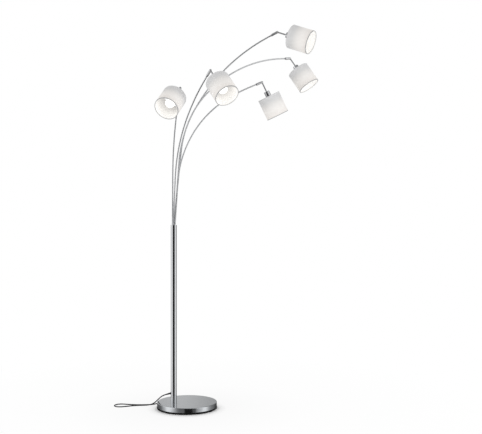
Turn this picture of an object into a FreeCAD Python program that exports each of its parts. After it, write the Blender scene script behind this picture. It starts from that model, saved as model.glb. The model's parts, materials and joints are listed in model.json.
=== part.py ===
"""Tree floor lamp: a heavy round base with an off-centre pole, from whose top five slender bent arms fan out.

Each arm ends in a slotted knuckle that swivels on the arm's tip. A stem with a flat tongue tilts in its
slot and carries a socket cup, a lampholder with its bulb, and a fabric drum shade open at both ends.
Millimetres, +Z up, origin on the floor under the centre of the round base. The view side is -Y.
"""
import FreeCAD, Part
import math
import os

# ---------------------------------------------------------------- base
BASE_RADIUS = 150.0          # outside of the steel cover
BASE_HEIGHT = 33.0           # floor to the cover's top face
COVER_WALL = 1.5
COVER_EDGE_ROUND = 2.5       # between the cover's top and its rim
FOOT_HEIGHT = 2.0
FOOT_RADIUS = 8.0
FOOT_SET_IN = 14.0           # from the cover's rim to the feet's middles
FOOT_COUNT = 6
CENTRE_PAD_RADIUS = 22.0     # one more pad under the middle
PLATE_THICK = 5.5            # moulded underplate that shows as a black line under the rim
PLATE_SET_BACK = 1.0         # how far the plate's edge stays inside the cover's rim
PLATE_CHAMFER = 3.0
WEIGHT_THICK = 15.0
WEIGHT_GAP = 3.0             # between the iron weight and the cover's wall

# ---------------------------------------------------------------- pole
POLE_SET_OFF = 67.0          # the pole stands off the base's centre, away from the arms' reach
POLE_RADIUS = 15.0
POLE_WALL = 1.5
POLE_LENGTH = 890.0
POLE_FOOT_THICK = 12.0       # threaded disc welded into the pole's foot
BOLT_RADIUS = 5.0
BOLT_FLANGE_RADIUS = 14.0
BOLT_FLANGE_THICK = 1.5
BOLT_HEAD_RADIUS = 8.5
BOLT_HEAD_THICK = 6.0
BOLT_TIP_FREE = 5.0          # thread left above the pole's foot disc

# ---------------------------------------------------------------- arms
ARM_RADIUS = 3.5
ARM_BORE_RADIUS = 2.5
ARM_CIRCLE_RADIUS = 6.7      # circle on which the five arms enter the pole's top plug
PLUG_LENGTH = 40.0
PLUG_CLEARANCE = 0.05        # between plug and pole, and between arm and plug
ARM_FOOT_BEND_RADIUS = 80.0  # the slight bend by which an arm leaves the plug
ARM_TIP_STRAIGHT = 60.0      # last straight length, up to the hinge pin

# One line per arm: where it enters the plug and heads for (degrees round the pole), its first lean, the
# straight length before its two tangent bends, and how its head is turned and tilted in the photograph.
ARMS = {
    "a": dict(entry=317.0, heading=2.8, lean=3.95, straight=308.0,
              bends=((650.0, 25.7), (945.0, 31.2)), swivel=-29.6, tilt=55.4),
    "b": dict(entry=101.0, heading=33.2, lean=6.7, straight=367.0,
              bends=((505.0, 37.8), (830.0, 38.2)), swivel=-26.8, tilt=75.5),
    "c": dict(entry=29.0, heading=19.0, lean=3.9, straight=208.0,
              bends=((555.0, 50.7), (900.0, 12.2)), swivel=-1.9, tilt=86.4),
    "d": dict(entry=245.0, heading=-44.2, lean=3.95, straight=233.0,
              bends=((695.0, 27.2), (890.0, 12.3)), swivel=-5.2, tilt=93.0),
    "e": dict(entry=173.0, heading=-68.5, lean=1.0, straight=248.0,
              bends=((755.0, 3.0), (805.0, 24.7)), swivel=-33.8, tilt=106.0),
}

# ---------------------------------------------------------------- knuckle and hinge
SLEEVE_RADIUS = 6.0
SLEEVE_LENGTH = 37.0         # from the inner end to the hinge pin; a round end follows
SLEEVE_BEVEL = 2.0           # the inner end tapers in by this much, over twice the length
TURN_CLEARANCE = 0.05        # radial, where the sleeve turns on the arm and the tongue on its pin
ARM_TIP_TO_PIN = 16.0        # from the arm's end to the hinge pin
CABLE_HOLE_RADIUS = 1.8
SLOT_CLEARANCE = 0.2         # each side of the tongue
SLOT_BACK = 9.0              # from the pin to the slot's closed end
ARM_END_GAP = 1.0            # between the arm's end and the bottom of the sleeve's bore
PIN_RADIUS = 1.5
GRUB_SCREW_RADIUS = 1.6
GRUB_SCREW_FROM_END = 7.0
GRUB_SCREW_PROUD = 1.2
GRUB_SOCKET_RADIUS = 0.8
GRUB_TIP_GAP = 0.3           # the screw's tip stays clear of the arm

# ---------------------------------------------------------------- stem and socket cup
STEM_RADIUS = 3.5
TONGUE_THICK = 3.8
TONGUE_WIDTH = 6.4
TONGUE_EYE_RADIUS = 4.2
TONGUE_LENGTH = 10.0         # from the pin to the stem's round shoulder
PIN_TO_CUP = 53.0
CUP_RADIUS = 15.0
CUP_LENGTH = 50.0
CUP_WALL = 1.2
CUP_ROUND = 3.5              # round of the cup's closed end
CUP_BEHIND_SHADE = 27.0      # length of cup that shows behind the shade
STEM_IN_HOLDER = 8.0

# ---------------------------------------------------------------- lampholder and bulb
HOLDER_CLEARANCE = 0.2
HOLDER_PAST_CUP = 7.0
HOLDER_MOUTH_RADIUS = 11.6
HOLDER_NUT_RADIUS = 18.0     # screwed ring that clamps the shade's carrier
BULB_RADIUS = 22.5
BULB_CENTRE_PAST_MIDDLE = 5.0   # from the middle of the shade towards its mouth
BULB_CAP_RADIUS = 6.9
BULB_CAP_LENGTH = 19.0
BULB_CONTACT_RADIUS = 2.5
BULB_CONTACT_LENGTH = 2.0
BULB_NECK_RADIUS = 8.0
CAP_CLEARANCE = 0.6

# ---------------------------------------------------------------- shade and its carrier
SHADE_RADIUS = 60.0
SHADE_LENGTH = 112.0
SHADE_WALL = 1.2
HEM_DEPTH = 3.5              # the fabric is rolled over the end rings
HEM_THICK = 2.6
RING_THICK = 1.2
RING_WIDTH = 3.0
CARRIER_THICK = 1.5
CARRIER_RADIUS = 21.0
SPOKE_RADIUS = 1.2
SPOKE_COUNT = 3

# ---------------------------------------------------------------- mains lead, its gland, switch and plug
CORD_RADIUS = 2.8
GLAND_HEIGHT = 74.0
GLAND_DROOP = 15.0           # degrees that the rubber sleeve hangs below level
GLAND_FLANGE_RADIUS = 6.5
GLAND_FLANGE_PROUD = 2.0
GLAND_NECK_RADIUS = 4.5
GLAND_INSIDE = 3.0           # length of the neck inside the pole's wall
SLEEVE_TIP_RADIUS = 3.3
RELIEF_LENGTH = 20.0         # tapered strain relief on the gland, the switch and the plug

SWITCH_CENTRE = (-118.5, 116.5)
SWITCH_HEADING = 45.5
SWITCH_LENGTH = 54.0
SWITCH_WIDTH = 26.0
SWITCH_HEIGHT = 14.0
SWITCH_EDGE_ROUND = 3.0
SWITCH_CORD_HEIGHT = 5.5
BUTTON_RADIUS = 9.5
BUTTON_GAP = 0.4
BUTTON_PROUD = 4.5
BUTTON_DEPTH = 8.0           # pocket below the case's top in which the button travels
BUTTON_TRAVEL = 3.0
BUTTON_EDGE_ROUND = 1.5

PLUG_ENTRY = (75.0, 153.2)
PLUG_HEADING = -32.0
PLUG_BODY_LENGTH = 34.0
PLUG_BODY_WIDTH = 35.3
PLUG_BODY_BACK_WIDTH = 17.0
PLUG_BODY_THICK = 13.7
PLUG_EDGE_ROUND = 2.5
PLUG_PIN_RADIUS = 2.0
PLUG_PIN_LENGTH = 19.0
PLUG_PIN_SPACING = 18.6
PLUG_PIN_INSIDE = 6.0

COIL_CENTRE = (-1.0, 201.5)
COIL_HEADING = -20.0         # direction of the lead where it runs into the coil, and out of it
COIL_OUTER = 44.5            # radius of the coil's first turn, on the cord's centre line
TURN_PITCH = 7.4
LAYER_PITCH = 6.1
HALF_TURNS_IN = 6
HALF_TURNS_OUT = 5

# ---------------------------------------------------------------- small helpers
V = FreeCAD.Vector
Z_AXIS = V(0, 0, 1)


def save(node, *solids):
    """Write a node's solids as one STEP file."""
    shape = solids[0] if len(solids) == 1 else Part.makeCompound(list(solids))
    shape.exportStep("parts/%s.step" % node)


def cylinder(radius, low, high, x=0.0, y=0.0):
    return Part.makeCylinder(radius, high - low, V(x, y, low))


def ring(outer, inner, low, high):
    return cylinder(outer, low, high).cut(cylinder(inner, low, high))


def polygon(points):
    """A face in the XZ plane through (x, z) points."""
    corners = [V(x, 0, z) for x, z in points]
    return Part.Face(Part.makePolygon(corners + corners[:1]))


def turned(edges):
    """A solid turned round Z from the edges of its half profile in the XZ plane."""
    return Part.Face(Part.Wire(edges)).revolve(V(0, 0, 0), Z_AXIS, 360)


def line(start, end):
    return Part.LineSegment(start, end).toShape()


def arc(start, middle, end):
    return Part.Arc(start, middle, end).toShape()


def polar(radius, degrees, z=0.0):
    angle = math.radians(degrees)
    return V(radius * math.cos(angle), radius * math.sin(angle), z)


def turn(axis, degrees):
    return FreeCAD.Placement(V(0, 0, 0), FreeCAD.Rotation(axis, degrees))


def shift(vector):
    return FreeCAD.Placement(vector, FreeCAD.Rotation())


def placed(shape, placement):
    """A copy of a shape moved from its own frame to its place on the lamp."""
    copy = shape.copy()
    copy.transformShape(placement.toMatrix())
    return copy


def swept(path, radius):
    """A round bar or cord along a smooth wire."""
    edge = path.Edges[0]
    start = edge.valueAt(edge.FirstParameter)
    direction = edge.tangentAt(edge.FirstParameter)
    section = Part.Wire(Part.makeCircle(radius, start, direction))
    return path.makePipeShell([section], True, False)


# ---------------------------------------------------------------- heights shared by several pieces
POLE_X = -POLE_SET_OFF
PLATE_TOP = FOOT_HEIGHT + PLATE_THICK
COVER_INSIDE_TOP = BASE_HEIGHT - COVER_WALL
WEIGHT_BOTTOM = COVER_INSIDE_TOP - WEIGHT_THICK
BOLT_TOP = BASE_HEIGHT + POLE_FOOT_THICK + BOLT_TIP_FREE
POLE_TOP = BASE_HEIGHT + POLE_LENGTH
PLUG_BOTTOM = POLE_TOP - PLUG_LENGTH
POLE_INSIDE = POLE_RADIUS - POLE_WALL
PIN_TO_SHADE = PIN_TO_CUP + CUP_BEHIND_SHADE
PIN_TO_BULB = PIN_TO_SHADE + SHADE_LENGTH / 2 + BULB_CENTRE_PAST_MIDDLE
CUP_FRONT = PIN_TO_CUP + CUP_LENGTH
HOLDER_FRONT = CUP_FRONT + HOLDER_PAST_CUP


# ---------------------------------------------------------------- base and pole
def make_base():
    rim = BASE_RADIUS - COVER_EDGE_ROUND
    edge_middle = polar(COVER_EDGE_ROUND, 45)
    profile = [
        line(V(BASE_RADIUS, 0, PLATE_TOP), V(BASE_RADIUS, 0, BASE_HEIGHT - COVER_EDGE_ROUND)),
        arc(V(BASE_RADIUS, 0, BASE_HEIGHT - COVER_EDGE_ROUND),
            V(rim + edge_middle.x, 0, BASE_HEIGHT - COVER_EDGE_ROUND + edge_middle.y),
            V(rim, 0, BASE_HEIGHT)),
        line(V(rim, 0, BASE_HEIGHT), V(0, 0, BASE_HEIGHT)),
        line(V(0, 0, BASE_HEIGHT), V(0, 0, COVER_INSIDE_TOP)),
        line(V(0, 0, COVER_INSIDE_TOP), V(BASE_RADIUS - COVER_WALL, 0, COVER_INSIDE_TOP)),
        line(V(BASE_RADIUS - COVER_WALL, 0, COVER_INSIDE_TOP), V(BASE_RADIUS - COVER_WALL, 0, PLATE_TOP)),
        line(V(BASE_RADIUS - COVER_WALL, 0, PLATE_TOP), V(BASE_RADIUS, 0, PLATE_TOP)),
    ]
    bolt_hole = cylinder(BOLT_RADIUS, 0, BASE_HEIGHT * 2, POLE_X)
    save("base_cover", turned(profile).cut(bolt_hole))

    weight = cylinder(BASE_RADIUS - COVER_WALL - WEIGHT_GAP, WEIGHT_BOTTOM, COVER_INSIDE_TOP)
    save("base_weight", weight.cut(bolt_hole))

    edge = BASE_RADIUS - PLATE_SET_BACK
    plate = polygon([
        (0, FOOT_HEIGHT), (edge - PLATE_CHAMFER, FOOT_HEIGHT), (edge, FOOT_HEIGHT + PLATE_CHAMFER),
        (edge, PLATE_TOP), (0, PLATE_TOP),
    ])
    feet = [cylinder(CENTRE_PAD_RADIUS, 0, FOOT_HEIGHT)]
    for index in range(FOOT_COUNT):
        place = polar(BASE_RADIUS - FOOT_SET_IN, 360.0 * (index + 0.5) / FOOT_COUNT)
        feet.append(cylinder(FOOT_RADIUS, 0, FOOT_HEIGHT, place.x, place.y))
    save("base_plate", plate.revolve(V(0, 0, 0), Z_AXIS, 360).fuse(feet))

    flange_bottom = WEIGHT_BOTTOM - BOLT_FLANGE_THICK
    head = cylinder(BOLT_HEAD_RADIUS, flange_bottom - BOLT_HEAD_THICK, flange_bottom, POLE_X)
    flange = cylinder(BOLT_FLANGE_RADIUS, flange_bottom, WEIGHT_BOTTOM, POLE_X)
    shank = cylinder(BOLT_RADIUS, flange_bottom, BOLT_TOP, POLE_X)
    save("base_bolt", head.fuse([flange, shank]).removeSplitter())


def make_pole():
    pole = cylinder(POLE_RADIUS, BASE_HEIGHT, POLE_TOP, POLE_X)
    pole = pole.cut(cylinder(POLE_INSIDE, BASE_HEIGHT + POLE_FOOT_THICK, POLE_TOP, POLE_X))
    pole = pole.cut(cylinder(BOLT_RADIUS, BASE_HEIGHT, BOLT_TOP, POLE_X))
    gland_hole = Part.makeCylinder(GLAND_NECK_RADIUS, POLE_RADIUS * 2, V(POLE_X, 0, GLAND_HEIGHT), V(-1, 0, 0))
    save("pole_tube", pole.cut(gland_hole))

    plug = cylinder(POLE_INSIDE - PLUG_CLEARANCE, PLUG_BOTTOM, POLE_TOP, POLE_X)
    for arm in ARMS.values():
        entry = arm_entry(arm)
        plug = plug.cut(cylinder(ARM_RADIUS + PLUG_CLEARANCE, PLUG_BOTTOM, POLE_TOP, entry.x, entry.y))
    save("arm_plug", plug)


# ---------------------------------------------------------------- arms
def arm_entry(arm):
    return V(POLE_X, 0, 0) + polar(ARM_CIRCLE_RADIUS, arm["entry"])


def arm_path(arm):
    """Edges of the arm's centre line, in its own upright plane, and the frame at its hinge pin."""
    outward = polar(1.0, arm["heading"])
    point = arm_entry(arm) + V(0, 0, PLUG_BOTTOM)
    angle = 0.0
    edges = []

    def direction(degrees):
        lean = math.radians(degrees)
        return outward * math.sin(lean) + Z_AXIS * math.cos(lean)

    def go(length):
        nonlocal point
        end = point + direction(angle) * length
        edges.append(line(point, end))
        point = end

    def bend(radius, degrees):
        nonlocal point, angle
        to_centre = direction(angle + 90) * radius
        centre = point + to_centre
        middle = centre - direction(angle + 90 + degrees / 2) * radius
        end = centre - direction(angle + 90 + degrees) * radius
        edges.append(arc(point, middle, end))
        point = end
        angle += degrees

    go(PLUG_LENGTH)
    bend(ARM_FOOT_BEND_RADIUS, arm["lean"])
    go(arm["straight"])
    for radius, degrees in arm["bends"]:
        bend(radius, degrees)
    go(ARM_TIP_STRAIGHT - ARM_TIP_TO_PIN)
    pin = point + direction(angle) * ARM_TIP_TO_PIN
    frame = shift(pin) * turn(Z_AXIS, arm["heading"]) * turn(V(0, 1, 0), angle)
    return edges, frame


def make_arm(name, arm):
    edges, frame = arm_path(arm)
    path = Part.Wire(edges)
    save("arm_%s" % name, swept(path, ARM_RADIUS).cut(swept(path, ARM_BORE_RADIUS)))
    return frame


# ---------------------------------------------------------------- one head, in the frame of its hinge pin
# Knuckle frame: Z along the arm's tip, X to the side on which the slot opens, Y along the hinge pin.
def make_knuckle(name, frame):
    low = -SLEEVE_LENGTH
    bevel_top = low + SLEEVE_BEVEL * 2
    profile = [
        line(V(0, 0, low), V(SLEEVE_RADIUS - SLEEVE_BEVEL, 0, low)),
        line(V(SLEEVE_RADIUS - SLEEVE_BEVEL, 0, low), V(SLEEVE_RADIUS, 0, bevel_top)),
        line(V(SLEEVE_RADIUS, 0, bevel_top), V(SLEEVE_RADIUS, 0, 0)),
        arc(V(SLEEVE_RADIUS, 0, 0), polar_xz(SLEEVE_RADIUS, 45), V(0, 0, SLEEVE_RADIUS)),
        line(V(0, 0, SLEEVE_RADIUS), V(0, 0, low)),
    ]
    sleeve = turned(profile)
    arm_bore_top = -ARM_TIP_TO_PIN + ARM_END_GAP
    sleeve = sleeve.cut(cylinder(ARM_RADIUS + TURN_CLEARANCE, low, arm_bore_top))
    sleeve = sleeve.cut(cylinder(CABLE_HOLE_RADIUS, low, 0))
    slot_half = TONGUE_THICK / 2 + SLOT_CLEARANCE
    slot_side = TONGUE_EYE_RADIUS + SLOT_CLEARANCE
    slot = Part.makeBox(SLEEVE_RADIUS * 4, slot_half * 2, SLEEVE_RADIUS * 4,
                        V(-slot_side, -slot_half, -SLOT_BACK))
    sleeve = sleeve.cut(slot)
    pin_hole = Part.makeCylinder(PIN_RADIUS, SLEEVE_RADIUS * 2, V(0, -SLEEVE_RADIUS, 0), V(0, 1, 0))
    sleeve = sleeve.cut(pin_hole)
    screw_height = low + GRUB_SCREW_FROM_END
    screw_hole = Part.makeCylinder(GRUB_SCREW_RADIUS, SLEEVE_RADIUS * 2, V(0, 0, screw_height), V(1, 0, 0))
    sleeve = sleeve.cut(screw_hole)
    save("knuckle_%s" % name, placed(sleeve, frame))

    pin = Part.makeSphere(SLEEVE_RADIUS, V(0, 0, 0)).common(pin_hole)
    screw_tip = ARM_RADIUS + GRUB_TIP_GAP
    screw = Part.makeCylinder(GRUB_SCREW_RADIUS, SLEEVE_RADIUS + GRUB_SCREW_PROUD - screw_tip,
                              V(screw_tip, 0, screw_height), V(1, 0, 0))
    socket = Part.makeCylinder(GRUB_SOCKET_RADIUS, SLEEVE_RADIUS, V(SLEEVE_RADIUS, 0, screw_height), V(1, 0, 0))
    save("hinge_pin_%s" % name, placed(pin, frame), placed(screw.cut(socket), frame))


def polar_xz(radius, degrees):
    angle = math.radians(degrees)
    return V(radius * math.cos(angle), 0, radius * math.sin(angle))


# Head frame: Z along the stem towards the shade's mouth, Y along the hinge pin.
def make_stem(name, frame):
    half = TONGUE_THICK / 2
    eye = Part.makeCylinder(TONGUE_EYE_RADIUS, TONGUE_THICK, V(0, -half, 0), V(0, 1, 0))
    neck = Part.makeBox(TONGUE_WIDTH, TONGUE_THICK, TONGUE_LENGTH, V(-TONGUE_WIDTH / 2, -half, 0))
    rod = cylinder(STEM_RADIUS, TONGUE_LENGTH, PIN_TO_CUP + CUP_WALL + STEM_IN_HOLDER)
    eye_hole = Part.makeCylinder(PIN_RADIUS + TURN_CLEARANCE, TONGUE_THICK, V(0, -half, 0), V(0, 1, 0))
    save("stem_%s" % name, placed(eye.fuse([neck, rod]).removeSplitter().cut(eye_hole), frame))


def make_cup(name, frame):
    back = PIN_TO_CUP
    inner = CUP_RADIUS - CUP_WALL
    inner_round = CUP_ROUND - CUP_WALL
    round_centre = V(CUP_RADIUS - CUP_ROUND, 0, back + CUP_ROUND)
    profile = [
        line(V(STEM_RADIUS, 0, back), V(round_centre.x, 0, back)),
        arc(V(round_centre.x, 0, back), round_centre + polar_xz(CUP_ROUND, -45),
            V(CUP_RADIUS, 0, round_centre.z)),
        line(V(CUP_RADIUS, 0, round_centre.z), V(CUP_RADIUS, 0, CUP_FRONT)),
        line(V(CUP_RADIUS, 0, CUP_FRONT), V(inner, 0, CUP_FRONT)),
        line(V(inner, 0, CUP_FRONT), V(inner, 0, round_centre.z)),
        arc(V(inner, 0, round_centre.z), round_centre + polar_xz(inner_round, -45),
            V(round_centre.x, 0, back + CUP_WALL)),
        line(V(round_centre.x, 0, back + CUP_WALL), V(STEM_RADIUS, 0, back + CUP_WALL)),
        line(V(STEM_RADIUS, 0, back + CUP_WALL), V(STEM_RADIUS, 0, back)),
    ]
    save("socket_cup_%s" % name, placed(turned(profile), frame))


def make_holder(name, frame):
    outer = CUP_RADIUS - CUP_WALL - HOLDER_CLEARANCE
    back = PIN_TO_CUP + CUP_WALL
    shoulder = outer - CUP_ROUND
    seat = bulb_contact_end()
    bore = BULB_CAP_RADIUS + CAP_CLEARANCE
    nut_back = CUP_FRONT + CARRIER_THICK
    mouth_depth = HOLDER_MOUTH_RADIUS - bore
    profile = polygon([
        (STEM_RADIUS, back), (shoulder, back), (outer, back + CUP_ROUND), (outer, nut_back),
        (HOLDER_NUT_RADIUS, nut_back), (HOLDER_NUT_RADIUS, HOLDER_FRONT),
        (HOLDER_MOUTH_RADIUS, HOLDER_FRONT), (bore, HOLDER_FRONT - mouth_depth), (bore, seat), (0, seat),
        (0, back + STEM_IN_HOLDER), (STEM_RADIUS, back + STEM_IN_HOLDER),
    ])
    save("lampholder_%s" % name, placed(profile.revolve(V(0, 0, 0), Z_AXIS, 360), frame))


def bulb_contact_end():
    """Height of the bulb's end contact, from the sizes of its cap and the cone that runs into the ball."""
    return HOLDER_FRONT - BULB_CAP_LENGTH - BULB_CONTACT_LENGTH - 1.0


def make_bulb(name, frame):
    contact = bulb_contact_end()
    cap_low = contact + BULB_CONTACT_LENGTH
    cap_high = cap_low + BULB_CAP_LENGTH
    centre = V(0, 0, PIN_TO_BULB)
    neck = V(BULB_NECK_RADIUS, 0, cap_high)
    to_centre = centre - neck
    tangent_length = math.sqrt(to_centre.Length ** 2 - BULB_RADIUS ** 2)
    opening = math.degrees(math.atan2(BULB_RADIUS, tangent_length))
    towards = math.degrees(math.atan2(to_centre.z, to_centre.x))
    meeting = neck + polar_xz(tangent_length, towards - opening)
    start = math.degrees(math.atan2(meeting.z - centre.z, meeting.x))
    profile = [
        line(V(0, 0, contact), V(BULB_CONTACT_RADIUS, 0, contact)),
        line(V(BULB_CONTACT_RADIUS, 0, contact), V(BULB_CAP_RADIUS, 0, cap_low)),
        line(V(BULB_CAP_RADIUS, 0, cap_low), V(BULB_CAP_RADIUS, 0, cap_high)),
        line(V(BULB_CAP_RADIUS, 0, cap_high), neck),
        line(neck, meeting),
        arc(meeting, centre + polar_xz(BULB_RADIUS, (start + 90) / 2), centre + V(0, 0, BULB_RADIUS)),
        line(centre + V(0, 0, BULB_RADIUS), V(0, 0, contact)),
    ]
    save("bulb_%s" % name, placed(turned(profile), frame))


def make_shade(name, frame):
    back = PIN_TO_SHADE
    mouth = back + SHADE_LENGTH
    inner = SHADE_RADIUS - SHADE_WALL
    hem = SHADE_RADIUS - HEM_THICK
    profile = polygon([
        (SHADE_RADIUS, back), (SHADE_RADIUS, mouth), (hem, mouth), (hem, mouth - HEM_DEPTH),
        (inner, mouth - HEM_DEPTH), (inner, back + HEM_DEPTH), (hem, back + HEM_DEPTH), (hem, back),
    ])
    save("shade_%s" % name, placed(profile.revolve(V(0, 0, 0), Z_AXIS, 360), frame))


def make_carrier(name, frame):
    """The wire carrier that the lampholder clamps, with the two rings that hold the drum round."""
    hub = ring(CARRIER_RADIUS, CUP_RADIUS - CUP_WALL - HOLDER_CLEARANCE, CUP_FRONT, CUP_FRONT + CARRIER_THICK)
    ring_outer = SHADE_RADIUS - HEM_THICK
    ring_inner = ring_outer - RING_THICK
    back = PIN_TO_SHADE
    mouth = back + SHADE_LENGTH
    back_ring = ring(ring_outer, ring_inner, back, back + RING_WIDTH)
    mouth_ring = ring(ring_outer, ring_inner, mouth - RING_WIDTH, mouth)
    start = V(CARRIER_RADIUS - SPOKE_RADIUS, 0, CUP_FRONT + CARRIER_THICK / 2)
    end = V(ring_inner + RING_THICK / 2, 0, back + RING_WIDTH / 2)
    spokes = []
    for index in range(SPOKE_COUNT):
        spoke = Part.makeCylinder(SPOKE_RADIUS, (end - start).Length, start, end - start)
        spokes.append(placed(spoke, turn(Z_AXIS, 360.0 * index / SPOKE_COUNT)))
    carrier = hub.fuse([back_ring] + spokes)
    carrier = carrier.common(cylinder(ring_outer, back, mouth))
    save("shade_carrier_%s" % name, placed(carrier, frame), placed(mouth_ring, frame))


def make_head(name, arm, frame):
    knuckle_frame = frame * turn(Z_AXIS, arm["swivel"])
    head_frame = knuckle_frame * turn(V(0, 1, 0), arm["tilt"])
    make_knuckle(name, knuckle_frame)
    make_stem(name, head_frame)
    make_cup(name, head_frame)
    make_holder(name, head_frame)
    make_bulb(name, head_frame)
    make_shade(name, head_frame)
    make_carrier(name, head_frame)
    tip = frame.Rotation.multVec(Z_AXIS)
    hinge = knuckle_frame.Rotation.multVec(V(0, 1, 0))
    print("JOINT %s pin %.4f %.4f %.4f tip %.6f %.6f %.6f hinge %.6f %.6f %.6f tilt %.2f" % (
        name, *frame.Base, *tip, *hinge, arm["tilt"]))


# ---------------------------------------------------------------- mains lead
def tapered(start, direction, first, last, length=RELIEF_LENGTH):
    return Part.makeCone(first, last, length, start, direction)


def gland_direction():
    return polar_xz(1.0, 180 + GLAND_DROOP)


def gland_tip():
    root = V(POLE_X - POLE_RADIUS - GLAND_FLANGE_PROUD, 0, GLAND_HEIGHT)
    return root + gland_direction() * RELIEF_LENGTH


def make_gland():
    outward = V(-1, 0, 0)
    axis_point = V(POLE_X, 0, GLAND_HEIGHT)
    neck_start = POLE_RADIUS - GLAND_INSIDE
    neck = Part.makeCylinder(GLAND_NECK_RADIUS, GLAND_INSIDE + GLAND_FLANGE_PROUD / 2,
                             axis_point + outward * neck_start, outward)
    flange = Part.makeCylinder(GLAND_FLANGE_RADIUS, GLAND_INSIDE + GLAND_FLANGE_PROUD,
                               axis_point + outward * neck_start, outward)
    flange = flange.cut(cylinder(POLE_RADIUS, 0, POLE_TOP, POLE_X))
    root = axis_point + outward * (POLE_RADIUS + GLAND_FLANGE_PROUD)
    overlap = gland_direction() * (GLAND_FLANGE_PROUD / 2)
    relief = tapered(root - overlap, gland_direction(), GLAND_NECK_RADIUS, SLEEVE_TIP_RADIUS,
                     RELIEF_LENGTH + overlap.Length)
    save("cord_gland", flange.fuse([neck, relief]))


def switch_tip(side):
    """End of the switch's strain relief: side -1 faces the lamp, side 1 the coil."""
    along = polar(1.0, SWITCH_HEADING)
    return V(*SWITCH_CENTRE, SWITCH_CORD_HEIGHT) + along * side * (SWITCH_LENGTH / 2 + RELIEF_LENGTH)


def lead_route():
    """The lead from the gland over the base's rim, along the floor, and round and back to the switch."""
    tip = gland_tip()
    floor = CORD_RADIUS
    switch_entry = switch_tip(-1)
    along = polar(1.0, SWITCH_HEADING)
    return [
        tip,
        tip + gland_direction() * 20,
        V(-143, 12, 45),
        V(-163, 36, 22),
        V(-182, 48, 8),
        V(-206, 50, floor),
        V(-246, 46, floor),
        V(-275, 39, floor),
        V(-299, 28.5, floor),
        V(-319, 18.5, floor),
        V(-341, 11, floor),
        V(-362.5, 18.5, floor),
        V(-374, 38.5, floor),
        V(-370, 61, floor),
        V(-352.5, 75.5, floor),
        V(-330, 75, floor),
        V(-303, 65.5, floor),
        V(-273, 60, floor),
        V(-241, 58, floor),
        V(-211, 60, floor),
        V(-184, 63.5, floor),
        switch_entry - along * 15,
        switch_entry,
    ]


def link_route():
    """From the switch to the coil."""
    switch_exit = switch_tip(1)
    along = polar(1.0, SWITCH_HEADING)
    coil_start = coil_ends()[0]
    return [
        switch_exit,
        switch_exit + along * 17,
        V(-57, 169, CORD_RADIUS),
        coil_start - polar(17, COIL_HEADING),
        coil_start,
    ]


def tail_route():
    """From the coil's upper layer down to the floor and up into the plug."""
    coil_end = coil_ends()[1]
    plug_back = V(*PLUG_ENTRY, PLUG_BODY_THICK / 2)
    return [
        coil_end,
        coil_end + polar(12, COIL_HEADING),
        V(16, 155.5, 7.2),
        V(31, 160, 3.6),
        V(46, 164, 4.0),
        plug_back - polar(15, PLUG_HEADING),
        plug_back,
    ]


def rounded(route, name):
    """A wire through a route, with each corner taken by the largest arc that its two runs allow."""
    edges = []
    radii = []
    start = route[0]
    for before, corner, after in zip(route, route[1:], route[2:]):
        run_in = corner - before
        run_out = after - corner
        half_turn = run_in.getAngle(run_out) / 2
        cut = 0.45 * min(run_in.Length, run_out.Length)
        radii.append(cut / math.tan(half_turn))
        arc_start = corner - unit(run_in) * cut
        arc_end = corner + unit(run_out) * cut
        to_centre = unit(unit(run_out) - unit(run_in))
        centre = corner + to_centre * (cut / math.sin(half_turn))
        edges.append(line(start, arc_start))
        edges.append(arc(arc_start, centre - to_centre * radii[-1], arc_end))
        start = arc_end
    edges.append(line(start, route[-1]))
    wire = Part.Wire(edges)
    print("CORD %s length %.1f, radii %s" % (name, wire.Length, " ".join("%.1f" % r for r in radii)))
    return wire


def unit(vector):
    return vector * (1.0 / vector.Length)


def make_cord(name, route):
    path = rounded(route, name)
    tube = swept(path, CORD_RADIUS)
    expected = math.pi * CORD_RADIUS ** 2 * path.Length
    print("CORD %s volume %.1f, section times length %.1f" % (name, tube.Volume, expected))
    save(name, tube)


def coil_points():
    """Ends of the coil's half turns: inwards on the floor, up a layer, then outwards over the first."""
    side = polar(1.0, COIL_HEADING - 90)
    offset = COIL_OUTER
    height = CORD_RADIUS
    steps = [-TURN_PITCH / 2] * HALF_TURNS_IN + [0.0] + [TURN_PITCH / 2] * HALF_TURNS_OUT
    points = [V(*COIL_CENTRE, height) + side * offset]
    for index, step in enumerate(steps):
        offset += step
        if step == 0.0:
            height += LAYER_PITCH
        sign = -1 if index % 2 == 0 else 1
        points.append(V(*COIL_CENTRE, height) + side * sign * offset)
    return points


def coil_ends():
    points = coil_points()
    run = polar(CORD_RADIUS * 2, COIL_HEADING)
    return points[0] - run, points[-1] + run


def make_coil():
    points = coil_points()
    start, end = coil_ends()
    along = polar(1.0, COIL_HEADING)
    edges = [line(start, points[0])]
    for index, (before, after) in enumerate(zip(points, points[1:])):
        sign = 1 if index % 2 == 0 else -1
        bulge = along * sign * ((after - before).Length / 2)
        edges.append(arc(before, (before + after) * 0.5 + bulge, after))
    edges.append(line(points[-1], end))
    path = Part.Wire(edges)
    print("COIL length %.1f, least gap to itself %.2f" % (path.Length, least_gap(path)))
    save("cord_coil", swept(path, CORD_RADIUS))


def least_gap(path):
    """Smallest distance between the surfaces of turns, measured on points along the centre line."""
    samples = path.discretize(Distance=2.0)
    apart = int(COIL_OUTER * 1.5 / 2.0)
    gaps = []
    for index, point in enumerate(samples):
        gaps += [(point - other).Length for other in samples[index + apart:]]
    return min(gaps) - 2 * CORD_RADIUS


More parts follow.
